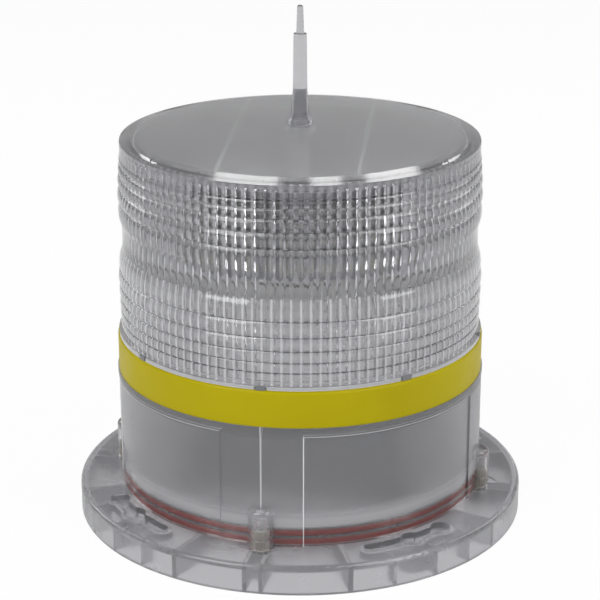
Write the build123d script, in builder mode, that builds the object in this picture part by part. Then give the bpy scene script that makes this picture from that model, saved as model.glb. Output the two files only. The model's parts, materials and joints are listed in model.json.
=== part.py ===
from build123d import *
from math import cos, radians, sin, sqrt
import os

os.makedirs("parts", exist_ok=True)

# Solar obstruction light: a clear base flange bolted down on a 200 mm circle, a frosted
# housing sealed on it by two rings, a yellow colour band, a ribbed clear lens, a solar
# panel under a shallow clear cover, and a bird spike on top.
# Millimetres, +Z up, origin at the centre of the flange's underside. One screw boss faces -Y.

front_angle = -90.0

# Gaps
seat_gap = 0.05
slide_gap = 0.05
fit_gap = 0.1
loose_gap = 0.3

# Base flange
bolt_circle = 200.0
flange_margin = 16.0
flange_height = 15.0
flange_edge_radius = 2.2
skirt_wall = 3.6
plate_thickness = 4.0
rib_thickness = 2.4
rib_count = 8
rib_turn = 1.6
gusset_thickness = 1.6
gusset_length = 8.0
gusset_turns = (35.6, 47.4, 58.6)
hub_ring_inset = 7.5
hub_ring_wall = 3.0
twin_rib_thickness = 2.0
twin_rib_offset = 4.0

# Bolt holes and the lobed recess round each of them
bolt_count = 4
bolt_hole_radius = 4.5
bolt_post_wall = 3.0
recess_depth = 5.0
recess_floor = 3.0
recess_wall = 2.0
recess_end_radius = 2.9
recess_end_angle = 31.5
recess_lobe_radius = 5.4
recess_far_radius = 5.0
recess_far_angle = 56.0

# Plug of the base, and its two seals
plug_gap = 0.45
plug_wall = 6.5
plug_height = 11.5
seal_section = 3.5
upper_seal_rise = 6.4

# Assembly screws, driven from below into brass inserts in the housing's four bosses
boss_count = 4
boss_radius = 6.7
boss_inset = 0.8
boss_height = 20.8
boss_edge_radius = 2.2
boss_bore_depth = 16.0
boss_bore_radius = 2.4
foot_recess_radius = 11.0
foot_recess_depth = 0.8
screw_outset = 1.7
screw_shank_radius = 1.95
screw_head_radius = 3.8
screw_head_height = 2.6
screw_reach = 18.0
screw_post_radius = 5.6
head_pocket_depth = 6.0
insert_radius = 3.1
insert_length = 10.0

# Housing
housing_inset = 5.6
housing_wall = 2.95
label_depth = 0.8
label_drop = 4.7
label_edge_angle = 12.7
seam_width = 0.4
seam_depth = 0.25
lip_stand = 0.25
lip_height = 3.0
shoulder_height = 77.5
ledge_width = 13.45
ledge_rise = 11.5
ledge_thickness = 8.0
taper_height = 10.0

# Colour band, gasket and lens foot
band_step = 0.3
band_wall = 2.8
band_height = 18.5
band_edge_radius = 1.5
gasket_thickness = 0.8
gasket_margin = 0.4
neck_wall = 4.8
lens_foot_gap = 0.2
lens_lip_step = 0.7
lens_lip_height = 1.8
key_count = 8
key_width = 4.6
key_thickness = 1.2

# Lens: a plain belt in the light's plane, with ribbed bands below and above it
belt_width = 13.0
belt_inset = 0.35
lower_rib_widths = (10.8, 8.0, 6.8, 5.8, 5.1, 4.5)
lower_rib_bulges = (0.95, 0.9, 0.7, 0.5, 0.35, 0.25)
upper_rib_widths = (11.4, 8.1, 6.5, 5.1, 3.9)
upper_rib_bulges = (1.2, 1.15, 0.95, 0.65, 0.35)
rib_rise = 3.8
lens_foot_step = 1.4
lens_shoulder_step = 0.5
lens_draw = 0.65
lens_rim_step = 0.1
lens_rim_height = 7.1
lens_wall = 3.15
flute_count = 112
wide_flute_count = 8
flute_depth = 1.3
flute_foot = 3.5
flute_head = 2.2

# Top cover
cover_step = 0.05
cover_edge_height = 0.5
cover_chamfer_width = 8.5
cover_chamfer_height = 2.3
cover_dome_rise = 5.3
cover_wall = 2.4
cover_skirt_depth = 7.0
cover_skirt_wall = 2.5
cover_rib_count = 16
cover_rib_thickness = 1.0
socket_radius = 8.0

# Bird spike
spigot_radius = 4.0
spigot_length = 5.4
spigot_groove_rise = 1.6
spigot_seal_section = 1.2
spike_foot_radius = 6.15
spike_foot_height = 2.0
spike_base_radius = 5.2
spike_flare_rise = 5.9
spike_flare_radius = 4.6
spike_waist_rise = 16.8
spike_waist_radius = 3.65
spike_step_radius = 3.3
spike_step_rise = 45.1
spike_step_bevel = 0.3
spike_pin_radius = 1.95
spike_tip_radius = 1.5
spike_height = 59.2

# Solar panel on its carrier
panel_margin = 2.1
panel_thickness = 1.6
cell_sheet_margin = 0.6
cell_sheet_thickness = 0.3
cell_strip_pitch = 67.0
cell_strip_gap = 1.4
cell_strip_turn = 6.5
panel_drop = 3.4
carrier_thickness = 2.0
carrier_ring_width = 6.0
carrier_arm_width = 12.0
carrier_hub_radius = 24.0

# Deck across the housing, mast, light hub and driver box
deck_thickness = 3.0
deck_screw_inset = 4.0
deck_screw_count = 6
deck_port_radius = 8.0
mast_radius = 16.0
mast_wall = 2.5
mast_foot_radius = 28.0
mast_foot_thickness = 3.0
mast_screw_inset = 5.0
mast_screw_count = 4
mast_collar_radius = 20.0
mast_collar_height = 4.0
hub_flats_radius = 30.0
facet_count = 8
hub_height = 27.0
star_radius = 9.5
star_thickness = 1.6
led_base_radius = 4.5
led_base_thickness = 1.2
led_dome_radius = 3.6
driver_width = 44.0
driver_depth = 36.0
driver_edge_radius = 3.0

# Controller board below the deck
board_radius = 62.0
board_thickness = 1.6
standoff_length = 5.0
standoff_radius = 3.0
standoff_inset = 5.4
plug_block_width = 40.0
plug_block_depth = 20.0
plug_block_height = 6.4
contact_pin_radius = 1.2
contact_pin_length = 1.2
contact_pitch = 9.0
contact_count = 4
contact_gap = 0.3
code_switch_size = 12.0
code_switch_height = 5.6
code_switch_spacing = 36.0
code_switch_offset = 34.0
code_dial_radius = 4.0
code_dial_height = 2.4
code_dial_stand = 0.6
capacitor_radius = 5.0
capacitor_length = 11.0
capacitor_pitch = 13.0
capacitor_offset = 32.0
chip_size = 12.0
chip_thickness = 1.6
inductor_radius = 7.0
inductor_bore_radius = 3.0
inductor_height = 6.0

# Batteries in their tray on the base
cell_radius = 16.5
cell_length = 60.3
cell_nub_radius = 4.5
cell_nub_length = 1.2
cell_edge_radius = 1.0
cell_count = 3
cell_gap = 1.0
contact_space = 1.6
contact_plate_thickness = 0.8
contact_plate_width = 16.0
contact_dimple_radius = 3.0
tray_floor = 2.5
tray_wall = 2.5
tray_end_rise = 9.0
ear_radius = 5.0
ear_thickness = 3.0
ear_spacing = 22.0
clamp_thickness = 3.0
clamp_width = 24.0
tower_width = 42.0
tower_depth = 30.0
tower_wall = 2.0
tower_edge_radius = 3.0
pad_length = 8.0
pad_width = 4.0
pad_thickness = 0.5

# Power switch and breather in the base plate
switch_edge_gap = 7.0
switch_bush_radius = 6.0
switch_bush_length = 15.0
switch_flange_radius = 9.0
switch_flange_thickness = 2.5
switch_gasket_thickness = 1.0
switch_rear_radius = 5.4
switch_rear_length = 8.0
switch_throat_radius = 4.1
switch_chamber_radius = 5.1
button_radius = 4.0
button_collar_radius = 5.0
button_collar_thickness = 1.2
button_stand = 3.5
button_travel = 2.0
button_spring_wire = 0.5
button_spring_turns = 4
nut_flats_radius = 8.5
nut_thickness = 4.0
breather_edge_gap = 3.7
breather_turn = 57.8
breather_head_radius = 6.5
breather_head_thickness = 3.0
breather_stem_radius = 4.0
breather_stem_length = 9.0
breather_vent_radius = 1.5
breather_nut_radius = 6.5
breather_nut_thickness = 3.0

# Small screws inside
small_shank_radius = 1.5
small_head_radius = 2.8
small_head_height = 2.0
small_screw_length = 7.0
small_hole_radius = 1.55
small_post_radius = 4.0
driver_socket_share = 0.55


def on_circle(radius, turn):
    """The point at this angle, in degrees, round the vertical axis."""
    return (radius * cos(radians(turn)), radius * sin(radians(turn)))


def ring_places(radius, count, start=0.0):
    """Points evenly spaced round the vertical axis."""
    return [on_circle(radius, start + 360.0 / count * index) for index in range(count)]


def column(places, radius, bottom, height, mode=Mode.ADD):
    """Round upright columns at the places."""
    with BuildSketch(Plane.XY.offset(bottom)) as discs:
        with Locations(*places):
            Circle(radius)
    extrude(discs.sketch, amount=height, mode=mode)


def screws(places, seat, side, length, shank_radius, head_radius, head_height):
    """Socket-head screws whose heads bear on the seat from its side (+1 above, -1 below)."""
    column(places, shank_radius, seat, -side * length)
    column(places, head_radius, seat, side * head_height)
    with BuildSketch(Plane.XY.offset(seat + side * head_height)) as sockets:
        with Locations(*places):
            RegularPolygon(head_radius * driver_socket_share, 6)
    extrude(sockets.sketch, amount=-side * head_height * driver_socket_share, mode=Mode.SUBTRACT)


# Levels and radii that several pieces share
flange_radius = bolt_circle / 2 + flange_margin
plate_top = flange_height
plate_bottom = plate_top - plate_thickness
housing_radius = bolt_circle / 2 - housing_inset
housing_bore_radius = housing_radius - housing_wall
plug_radius = housing_bore_radius - plug_gap
plug_inner_radius = plug_radius - plug_wall
hub_ring_radius = plug_inner_radius - hub_ring_inset
hub_ring_bore_radius = hub_ring_radius - hub_ring_wall
boss_circle_radius = housing_radius - boss_inset
screw_circle_radius = boss_circle_radius + screw_outset
foot_floor = plate_top - foot_recess_depth
seal_levels = (plate_top + seal_section / 2 + fit_gap, plate_top + upper_seal_rise)
seal_centre_radius = housing_bore_radius - fit_gap - seal_section / 2
boss_places = ring_places(screw_circle_radius, boss_count)
housing_bottom = plate_top + seat_gap
boss_bottom = foot_floor + seat_gap
label_top = shoulder_height - label_drop
lip_radius = housing_radius + lip_stand
ledge_radius = housing_bore_radius - ledge_width
ledge_top = shoulder_height + ledge_rise
band_radius = housing_radius - band_step
neck_radius = band_radius - band_wall - slide_gap
neck_inner_radius = neck_radius - neck_wall
band_top = shoulder_height + band_height
lens_bottom = band_top + lens_foot_gap
neck_top = lens_bottom - gasket_thickness
lens_lip_radius = band_radius - lens_lip_step
lens_base_radius = lens_lip_radius - lens_foot_step
lens_shoulder_radius = lens_base_radius - lens_shoulder_step
lens_top_radius = lens_shoulder_radius - lens_draw
lens_rim_radius = lens_top_radius - lens_rim_step
lens_inner_radius = lens_top_radius - lens_wall
belt_radius = lens_top_radius - belt_inset
rib_bottom = lens_bottom + rib_rise
belt_bottom = rib_bottom + sum(lower_rib_widths)
belt_height = belt_bottom + belt_width / 2
belt_top = belt_bottom + belt_width
rib_top = belt_top + sum(upper_rib_widths)
lens_top = rib_top + lens_rim_height
cover_edge_radius = lens_rim_radius - cover_step
cover_chamfer_radius = cover_edge_radius - cover_chamfer_width
cover_corner = lens_top + cover_chamfer_height
cover_top = cover_corner + cover_dome_rise
skirt_radius = lens_inner_radius - fit_gap
skirt_inner_radius = skirt_radius - cover_skirt_wall
panel_radius = skirt_inner_radius - panel_margin
deck_bottom = ledge_top
deck_top = deck_bottom + deck_thickness
board_top = deck_bottom - standoff_length
board_bottom = board_top - board_thickness
plug_block_bottom = board_bottom - plug_block_height
tower_top = plug_block_bottom - contact_pin_length - contact_gap - pad_thickness
cell_pitch = 2 * cell_radius + cell_gap
cell_axis_height = plate_top + tray_floor + cell_radius + fit_gap
tray_half_length = (cell_count * cell_pitch - cell_gap) / 2 + fit_gap + tray_wall
cell_half_space = (cell_length + cell_nub_length) / 2 + contact_space
tray_half_width = cell_half_space + tray_wall
ear_circle_x = tray_half_length + clamp_thickness + small_head_radius + 2 * loose_gap
ear_top = plate_top + ear_thickness
clamp_bottom = cell_axis_height + cell_radius + fit_gap
clamp_top = clamp_bottom + clamp_thickness
carrier_top = cover_corner - panel_drop - panel_thickness
carrier_bottom = carrier_top - carrier_thickness
hub_bottom = belt_height - hub_height / 2
hub_top = hub_bottom + hub_height
cell_places = [(index - (cell_count - 1) / 2) * cell_pitch for index in range(cell_count)]
tray_ears = [(x * ear_circle_x, y * ear_spacing) for x in (-1, 1) for y in (-1, 1)]
clamp_ears = [(-ear_circle_x, 0), (ear_circle_x, 0)]
switch_offset = hub_ring_bore_radius - switch_flange_radius - switch_edge_gap
switch_place = [(0, switch_offset)]
breather_place = [
    on_circle(hub_ring_bore_radius - breather_head_radius - breather_edge_gap, breather_turn)
]
deck_screw_places = ring_places(ledge_radius + deck_screw_inset, deck_screw_count, 30)
pieces = {}

# One quarter's lobed recess, narrow at the end near the front boss, mirrored to the others
recess_path = CenterArc(
    (0, 0), bolt_circle / 2, front_angle + recess_end_angle, recess_far_angle - recess_end_angle
)
with BuildSketch() as recess_outline:
    SlotArc(recess_path, 2 * recess_end_radius)
    with Locations(*ring_places(bolt_circle / 2, 1, front_angle + 180 / bolt_count)):
        Circle(recess_lobe_radius)
    with Locations(*ring_places(bolt_circle / 2, 1, front_angle + recess_far_angle)):
        Circle(recess_far_radius)
    mirror(about=Plane.YZ)
    mirror(about=Plane.XZ)

# Base flange: plate on a skirt with ribs and posts below, and the plug that holds the seals
rib_reach = flange_radius - skirt_wall / 2
rib_start = hub_ring_radius - hub_ring_wall / 2
twin_start = screw_circle_radius + screw_post_radius / 2
recess_bottom = plate_top - recess_depth
pad_bottom = recess_bottom - recess_floor
bolt_places = ring_places(bolt_circle / 2, bolt_count, front_angle + 180 / bolt_count)
with BuildPart() as base_flange:
    with BuildSketch(Plane.XY.offset(plate_bottom)):
        Circle(flange_radius)
    extrude(amount=plate_thickness)
    fillet(base_flange.faces().sort_by(Axis.Z)[-1].outer_wire().edges(), flange_edge_radius)
    with BuildSketch():
        Circle(flange_radius)
        Circle(flange_radius - skirt_wall, mode=Mode.SUBTRACT)
        Circle(hub_ring_radius)
        Circle(hub_ring_bore_radius, mode=Mode.SUBTRACT)
        with PolarLocations((rib_start + rib_reach) / 2, rib_count, start_angle=180 / rib_count + rib_turn):
            Rectangle(rib_reach - rib_start, rib_thickness)
        for gusset_turn in gusset_turns:
            with PolarLocations(rib_reach - gusset_length / 2, boss_count, start_angle=gusset_turn):
                Rectangle(gusset_length, gusset_thickness)
        with PolarLocations((twin_start + rib_reach) / 2, boss_count):
            with Locations((0, -twin_rib_offset), (0, twin_rib_offset)):
                Rectangle(rib_reach - twin_start, twin_rib_thickness)
        with Locations(*bolt_places):
            Circle(bolt_hole_radius + bolt_post_wall)
        with Locations(*boss_places):
            Circle(screw_post_radius)
        with Locations(*tray_ears, *clamp_ears):
            Circle(small_post_radius)
    extrude(amount=plate_bottom)
    with BuildSketch(Plane.XY.offset(pad_bottom)):
        add(recess_outline.sketch)
        offset(amount=recess_wall)
    extrude(amount=plate_bottom - pad_bottom)
    with BuildSketch(Plane.XY.offset(recess_bottom)):
        add(recess_outline.sketch)
    extrude(amount=recess_depth, mode=Mode.SUBTRACT)
    column(ring_places(boss_circle_radius, boss_count), foot_recess_radius, foot_floor,
           foot_recess_depth, Mode.SUBTRACT)
    with BuildSketch(Plane.XY.offset(foot_floor)):
        Circle(plug_radius)
        Circle(plug_inner_radius, mode=Mode.SUBTRACT)
    extrude(amount=plate_top + plug_height - foot_floor)
    for seal_level in seal_levels:
        with BuildSketch(Plane.XY.offset(seal_level - seal_section / 2 - fit_gap)):
            Circle(plug_radius + fit_gap)
            Circle(seal_centre_radius - seal_section / 2 - slide_gap, mode=Mode.SUBTRACT)
        extrude(amount=seal_section + 2 * fit_gap, mode=Mode.SUBTRACT)
    column(bolt_places, bolt_hole_radius, 0, plate_top, Mode.SUBTRACT)
    column(boss_places, screw_shank_radius + fit_gap, 0, plate_top, Mode.SUBTRACT)
    column(boss_places, screw_head_radius + loose_gap, 0, head_pocket_depth, Mode.SUBTRACT)
    column(tray_ears + clamp_ears, small_hole_radius, plate_top, -small_screw_length, Mode.SUBTRACT)
    column(switch_place, switch_bush_radius + slide_gap, plate_bottom, plate_thickness, Mode.SUBTRACT)
    column(breather_place, breather_stem_radius + slide_gap, plate_bottom, plate_thickness,
           Mode.SUBTRACT)
pieces["base_flange"] = base_flange

# The two red seals in the plug's grooves
with BuildPart() as lower_seal:
    with Locations((0, 0, seal_levels[0])):
        Torus(seal_centre_radius, seal_section / 2)
pieces["lower_o_ring"] = lower_seal

with BuildPart() as upper_seal:
    with Locations((0, 0, seal_levels[1])):
        Torus(seal_centre_radius, seal_section / 2)
pieces["upper_o_ring"] = upper_seal

with BuildPart() as assembly_screws:
    screws(boss_places, head_pocket_depth, -1, screw_reach, screw_shank_radius, screw_head_radius,
           screw_head_height)
pieces["assembly_screws"] = assembly_screws

# Battery tray: three cradles side by side, with end walls behind the contacts
with BuildPart() as battery_tray:
    with BuildSketch(Plane.XY.offset(plate_top)):
        Rectangle(2 * tray_half_length, 2 * tray_half_width)
    extrude(amount=cell_axis_height + tray_end_rise - plate_top)
    with BuildSketch(Plane.XY.offset(cell_axis_height)):
        Rectangle(2 * tray_half_length, 2 * cell_half_space)
    extrude(amount=tray_end_rise, mode=Mode.SUBTRACT)
    with BuildSketch(Plane.XZ.offset(-cell_half_space)):
        with Locations(*[(x, cell_axis_height) for x in cell_places]):
            Circle(cell_radius + fit_gap)
    extrude(amount=2 * cell_half_space, mode=Mode.SUBTRACT)
    with BuildSketch(Plane.XY.offset(cell_axis_height - contact_plate_width / 2)):
        Rectangle(2 * (tray_half_length - tray_wall), 2 * cell_half_space)
        Rectangle(2 * tray_half_length, 2 * (cell_half_space - contact_space), mode=Mode.SUBTRACT)
    extrude(amount=contact_plate_width / 2, mode=Mode.SUBTRACT)
    with BuildSketch(Plane.XY.offset(plate_top)):
        with Locations(*tray_ears):
            Circle(ear_radius)
        Rectangle(2 * ear_circle_x, 2 * ear_spacing + 2 * ear_radius)
        Rectangle(2 * tray_half_length - tray_wall, 2 * ear_spacing + 2 * ear_radius, mode=Mode.SUBTRACT)
        with Locations(*clamp_ears):
            Circle(ear_radius)
        with Locations(*tray_ears, *clamp_ears):
            Circle(small_hole_radius, mode=Mode.SUBTRACT)
    extrude(amount=ear_thickness)
pieces["battery_tray"] = battery_tray

with BuildPart() as tray_screws:
    screws(tray_ears, ear_top, 1, small_screw_length, small_shank_radius, small_head_radius,
           small_head_height)
pieces["tray_screws"] = tray_screws

# Three cells lying along Y, turned end for end in turn
for index, x in enumerate(cell_places):
    heading = -1 if index % 2 else 1
    cell_end = Plane(
        origin=(x, -heading * (cell_length + cell_nub_length) / 2, cell_axis_height),
        x_dir=(1, 0, 0),
        z_dir=(0, heading, 0),
    )
    with BuildPart() as battery_cell:
        with BuildSketch(cell_end):
            Circle(cell_radius)
        extrude(amount=cell_length)
        fillet(battery_cell.edges().filter_by(GeomType.CIRCLE), cell_edge_radius)
        with BuildSketch(cell_end.offset(cell_length)):
            Circle(cell_nub_radius)
        extrude(amount=cell_nub_length)
    pieces[f"battery_cell_{index + 1}"] = battery_cell

# Contact plates at the two ends: one joins a pair of cells, the other serves the odd one
for name, side in (("front_contacts", -1), ("rear_contacts", 1)):
    wall_plane = Plane(origin=(0, side * cell_half_space, cell_axis_height), x_dir=(1, 0, 0),
                       z_dir=(0, -side, 0))
    pair_x = side * cell_pitch / 2
    single_x = -side * cell_pitch
    with BuildPart() as contact_plates:
        with BuildSketch(wall_plane):
            with Locations((pair_x, 0)):
                Rectangle(cell_pitch + contact_plate_width, contact_plate_width)
            with Locations((single_x, 0)):
                Rectangle(contact_plate_width, contact_plate_width)
        extrude(amount=contact_plate_thickness)
        with BuildSketch(wall_plane.offset(contact_plate_thickness)):
            with Locations(*[(cell_x, 0) for cell_x in cell_places]):
                Circle(contact_dimple_radius)
        extrude(amount=contact_space - contact_plate_thickness)
    pieces[name] = contact_plates

# Clamp strap over the cells, its feet on the tray's middle ears
clamp_leg_x = tray_half_length + fit_gap
clamp_foot_x = ear_circle_x + ear_radius
with BuildPart() as battery_clamp:
    with BuildSketch(Plane.XZ.offset(-clamp_width / 2)):
        with BuildLine():
            Polyline(
                (clamp_foot_x, ear_top),
                (clamp_foot_x, ear_top + clamp_thickness),
                (clamp_leg_x + clamp_thickness, ear_top + clamp_thickness),
                (clamp_leg_x + clamp_thickness, clamp_top),
                (-clamp_leg_x - clamp_thickness, clamp_top),
                (-clamp_leg_x - clamp_thickness, ear_top + clamp_thickness),
                (-clamp_foot_x, ear_top + clamp_thickness),
                (-clamp_foot_x, ear_top),
                (-clamp_leg_x, ear_top),
                (-clamp_leg_x, clamp_bottom),
                (clamp_leg_x, clamp_bottom),
                (clamp_leg_x, ear_top),
                close=True,
            )
        make_face()
    extrude(amount=clamp_width)
    column(clamp_ears, small_hole_radius, ear_top, clamp_thickness, Mode.SUBTRACT)
pieces["battery_clamp"] = battery_clamp

with BuildPart() as clamp_screws:
    screws(clamp_ears, ear_top + clamp_thickness, 1, small_screw_length + clamp_thickness,
           small_shank_radius, small_head_radius, small_head_height)
pieces["clamp_screws"] = clamp_screws

# Contact tower on the clamp, with flat pads that meet the head's spring pins
contact_places = [((index - (contact_count - 1) / 2) * contact_pitch, 0) for index in range(contact_count)]
with BuildPart() as connector_tower:
    with BuildSketch(Plane.XY.offset(clamp_top)):
        RectangleRounded(tower_width, tower_depth, tower_edge_radius)
    extrude(amount=tower_top - clamp_top)
    with BuildSketch(Plane.XY.offset(clamp_top)):
        RectangleRounded(tower_width - 2 * tower_wall, tower_depth - 2 * tower_wall,
                         tower_edge_radius - tower_wall)
    extrude(amount=tower_top - clamp_top - tower_wall, mode=Mode.SUBTRACT)
pieces["connector_tower"] = connector_tower

with BuildPart() as tower_pads:
    with BuildSketch(Plane.XY.offset(tower_top)):
        with Locations(*contact_places):
            Rectangle(pad_width, pad_length)
    extrude(amount=pad_thickness)
pieces["tower_pads"] = tower_pads

# Power switch: bush through the plate, nut inside, sprung button below
switch_flange_top = plate_bottom - switch_gasket_thickness
switch_bottom = switch_flange_top - switch_flange_thickness
switch_bush_top = plate_bottom + switch_bush_length
collar_seat = switch_flange_top
chamber_top = collar_seat + seat_gap + button_collar_thickness + 3 * button_travel
with BuildPart() as power_switch_body:
    column(switch_place, switch_flange_radius, switch_bottom, switch_flange_thickness)
    column(switch_place, switch_bush_radius, switch_flange_top, switch_bush_top - switch_flange_top)
    column(switch_place, switch_rear_radius, switch_bush_top, switch_rear_length)
    with BuildSketch(Plane.XY.offset(switch_bush_top + switch_rear_length)):
        with Locations((-switch_rear_radius / 2, switch_offset), (switch_rear_radius / 2, switch_offset)):
            Rectangle(small_head_height / 4, small_head_radius)
    extrude(amount=small_head_radius * 2)
    column(switch_place, switch_throat_radius, switch_bottom, collar_seat - switch_bottom, Mode.SUBTRACT)
    column(switch_place, switch_chamber_radius, collar_seat, chamber_top - collar_seat, Mode.SUBTRACT)
pieces["power_switch_body"] = power_switch_body

with BuildPart() as power_switch_gasket:
    column(switch_place, switch_flange_radius, switch_flange_top, switch_gasket_thickness)
    column(switch_place, switch_bush_radius + slide_gap, switch_flange_top, switch_gasket_thickness,
           Mode.SUBTRACT)
pieces["power_switch_gasket"] = power_switch_gasket

with BuildPart() as power_switch_nut:
    with BuildSketch(Plane.XY.offset(plate_top)):
        with Locations(*switch_place):
            RegularPolygon(nut_flats_radius, 6, major_radius=False)
            Circle(switch_bush_radius + slide_gap, mode=Mode.SUBTRACT)
    extrude(amount=nut_thickness)
pieces["power_switch_nut"] = power_switch_nut

button_collar_bottom = collar_seat + seat_gap
with BuildPart() as power_button:
    column(switch_place, button_radius, switch_bottom - button_stand,
           button_collar_bottom + button_collar_thickness - switch_bottom + button_stand)
    fillet(power_button.edges().sort_by(Axis.Z)[0], button_radius / 5)
    column(switch_place, button_collar_radius, button_collar_bottom, button_collar_thickness)
pieces["power_button"] = power_button

spring_height = chamber_top - button_collar_bottom - button_collar_thickness
spring_coil_height = spring_height - button_spring_wire
spring_radius = button_collar_radius - button_spring_wire
spring_path = Helix(
    pitch=spring_coil_height / button_spring_turns,
    height=spring_coil_height,
    radius=spring_radius,
    center=(0, switch_offset, chamber_top - spring_height + button_spring_wire / 2),
)
with BuildPart() as button_spring:
    with BuildSketch(Plane(origin=spring_path @ 0, z_dir=spring_path % 0)):
        Circle(button_spring_wire / 2)
    sweep(path=spring_path, is_frenet=True)
pieces["button_spring"] = button_spring

# Breather: vented plug from below, held by a nut inside
with BuildPart() as breather_plug:
    column(breather_place, breather_head_radius, plate_bottom, -breather_head_thickness)
    column(breather_place, breather_stem_radius, plate_bottom, breather_stem_length)
    column(breather_place, breather_vent_radius, plate_bottom - breather_head_thickness,
           breather_head_thickness + breather_stem_length, Mode.SUBTRACT)
pieces["breather_plug"] = breather_plug

with BuildPart() as breather_nut:
    with BuildSketch(Plane.XY.offset(plate_top)):
        with Locations(*breather_place):
            RegularPolygon(breather_nut_radius, 6, major_radius=False)
            Circle(breather_stem_radius + slide_gap, mode=Mode.SUBTRACT)
    extrude(amount=breather_nut_thickness)
pieces["breather_nut"] = breather_nut

# Housing: wall over the plug, shoulder for the band, neck for the lens, ledge for the deck
with BuildPart() as screw_boss:
    Cylinder(boss_radius, boss_height, align=(Align.CENTER, Align.CENTER, Align.MIN))
    fillet(screw_boss.edges().sort_by(Axis.Z)[-1], boss_edge_radius)

label_reach = 2 * housing_radius
with BuildPart() as housing:
    with BuildSketch(Plane.XZ):
        with BuildLine():
            Polyline(
                (housing_bore_radius, housing_bottom),
                (housing_radius, housing_bottom),
                (housing_radius, shoulder_height - lip_height),
                (lip_radius, shoulder_height - lip_height),
                (lip_radius, shoulder_height),
                (neck_radius, shoulder_height),
                (neck_radius, neck_top),
                (neck_inner_radius, neck_top),
                (neck_inner_radius, ledge_top),
                (ledge_radius, ledge_top),
                (ledge_radius, ledge_top - ledge_thickness),
                (housing_bore_radius, ledge_top - ledge_thickness - taper_height),
                close=True,
            )
        make_face()
    revolve(axis=Axis.Z)
    with BuildSketch(Plane.XY.offset(housing_bottom)):
        for boss_turn in (0, 90, 180, 270):
            with BuildLine():
                Polyline(
                    (0, 0),
                    on_circle(label_reach, boss_turn + label_edge_angle),
                    on_circle(label_reach, boss_turn + 90 - label_edge_angle),
                    close=True,
                )
            make_face()
        Circle(housing_radius - label_depth, mode=Mode.SUBTRACT)
    extrude(amount=label_top - housing_bottom, mode=Mode.SUBTRACT)
    with Locations(*[(x, y, boss_bottom) for x, y in ring_places(boss_circle_radius, boss_count)]):
        add(screw_boss.part)
    with BuildSketch(Plane.XY.offset(boss_bottom)):
        Circle(housing_bore_radius)
    extrude(amount=boss_height + boss_edge_radius, mode=Mode.SUBTRACT)
    with BuildSketch(Plane.XY.offset(boss_bottom + boss_height)):
        with PolarLocations(housing_radius, boss_count):
            Rectangle(2 * seam_depth, seam_width)
    extrude(amount=shoulder_height - lip_height - boss_bottom - boss_height, mode=Mode.SUBTRACT)
    column(boss_places, insert_radius + slide_gap, boss_bottom, insert_length + fit_gap, Mode.SUBTRACT)
    column(boss_places, boss_bore_radius, boss_bottom, boss_bore_depth, Mode.SUBTRACT)
    column(deck_screw_places, small_hole_radius, ledge_top, deck_thickness - small_screw_length,
           Mode.SUBTRACT)
pieces["housing"] = housing

with BuildPart() as screw_inserts:
    column(boss_places, insert_radius, boss_bottom, insert_length)
    column(boss_places, screw_shank_radius + slide_gap, boss_bottom, insert_length, Mode.SUBTRACT)
pieces["screw_inserts"] = screw_inserts

with BuildPart() as colour_band:
    with BuildSketch(Plane.XY.offset(shoulder_height)):
        Circle(band_radius)
        Circle(band_radius - band_wall, mode=Mode.SUBTRACT)
    extrude(amount=band_height)
    fillet(colour_band.faces().sort_by(Axis.Z)[-1].outer_wire().edges(), band_edge_radius)
pieces["colour_band"] = colour_band

# Lens: ribbed outside, fluted inside
def wall_radius(height):
    """Radius of the lens at the foot of its ribs: upright below the belt, drawn in above it."""
    if height <= belt_bottom:
        return lens_base_radius
    share = (height - belt_top) / (rib_top - belt_top)
    return lens_shoulder_radius + (lens_top_radius - lens_shoulder_radius) * share


def rib_arcs(start_height, widths, bulges, way):
    """Bulged ribs one after another, away from the belt."""
    height = start_height
    radius = belt_radius
    for width, bulge in zip(widths, bulges):
        end_height = height + way * width
        end_radius = wall_radius(end_height)
        crown_height = height + way * width / 2
        crown = wall_radius(crown_height) + bulge
        ThreePointArc((radius, height), (crown, crown_height), (end_radius, end_height))
        height = end_height
        radius = end_radius


flute_steps = 2 * flute_count
flute_points = []
for index in range(flute_steps):
    deep = index % 2 == 1 or index % (flute_steps // wide_flute_count) == 0
    flute_points.append(on_circle(lens_inner_radius + flute_depth * deep, 360 / flute_steps * index))

with BuildPart() as lens_drum:
    with BuildSketch(Plane.XZ):
        with BuildLine():
            rib_arcs(belt_top, upper_rib_widths, upper_rib_bulges, 1)
            Polyline(
                (lens_top_radius, rib_top),
                (lens_rim_radius, rib_top),
                (lens_rim_radius, lens_top),
                (lens_inner_radius, lens_top),
                (lens_inner_radius, lens_bottom),
                (lens_lip_radius, lens_bottom),
                (lens_lip_radius, lens_bottom + lens_lip_height),
                (lens_base_radius, lens_bottom + lens_lip_height),
                (lens_base_radius, rib_bottom),
            )
            rib_arcs(belt_bottom, lower_rib_widths, lower_rib_bulges, -1)
            Line((belt_radius, belt_bottom), (belt_radius, belt_top))
        make_face()
    revolve(axis=Axis.Z)
    with BuildSketch(Plane.XY.offset(lens_bottom + flute_foot)):
        with BuildLine():
            Polyline(*flute_points, close=True)
        make_face()
    extrude(amount=lens_top - flute_head - lens_bottom - flute_foot, mode=Mode.SUBTRACT)
    with BuildSketch(Plane.XY.offset(lens_bottom)):
        with PolarLocations(lens_lip_radius, key_count):
            Rectangle(2 * key_thickness + 2 * fit_gap, key_width + 2 * fit_gap)
    extrude(amount=lens_lip_height, mode=Mode.SUBTRACT)
pieces["lens_drum"] = lens_drum

with BuildPart() as lens_gasket:
    with BuildSketch(Plane.XY.offset(neck_top)):
        Circle(neck_radius - gasket_margin)
        Circle(neck_radius - lens_wall, mode=Mode.SUBTRACT)
    extrude(amount=gasket_thickness)
pieces["lens_gasket"] = lens_gasket

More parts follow.
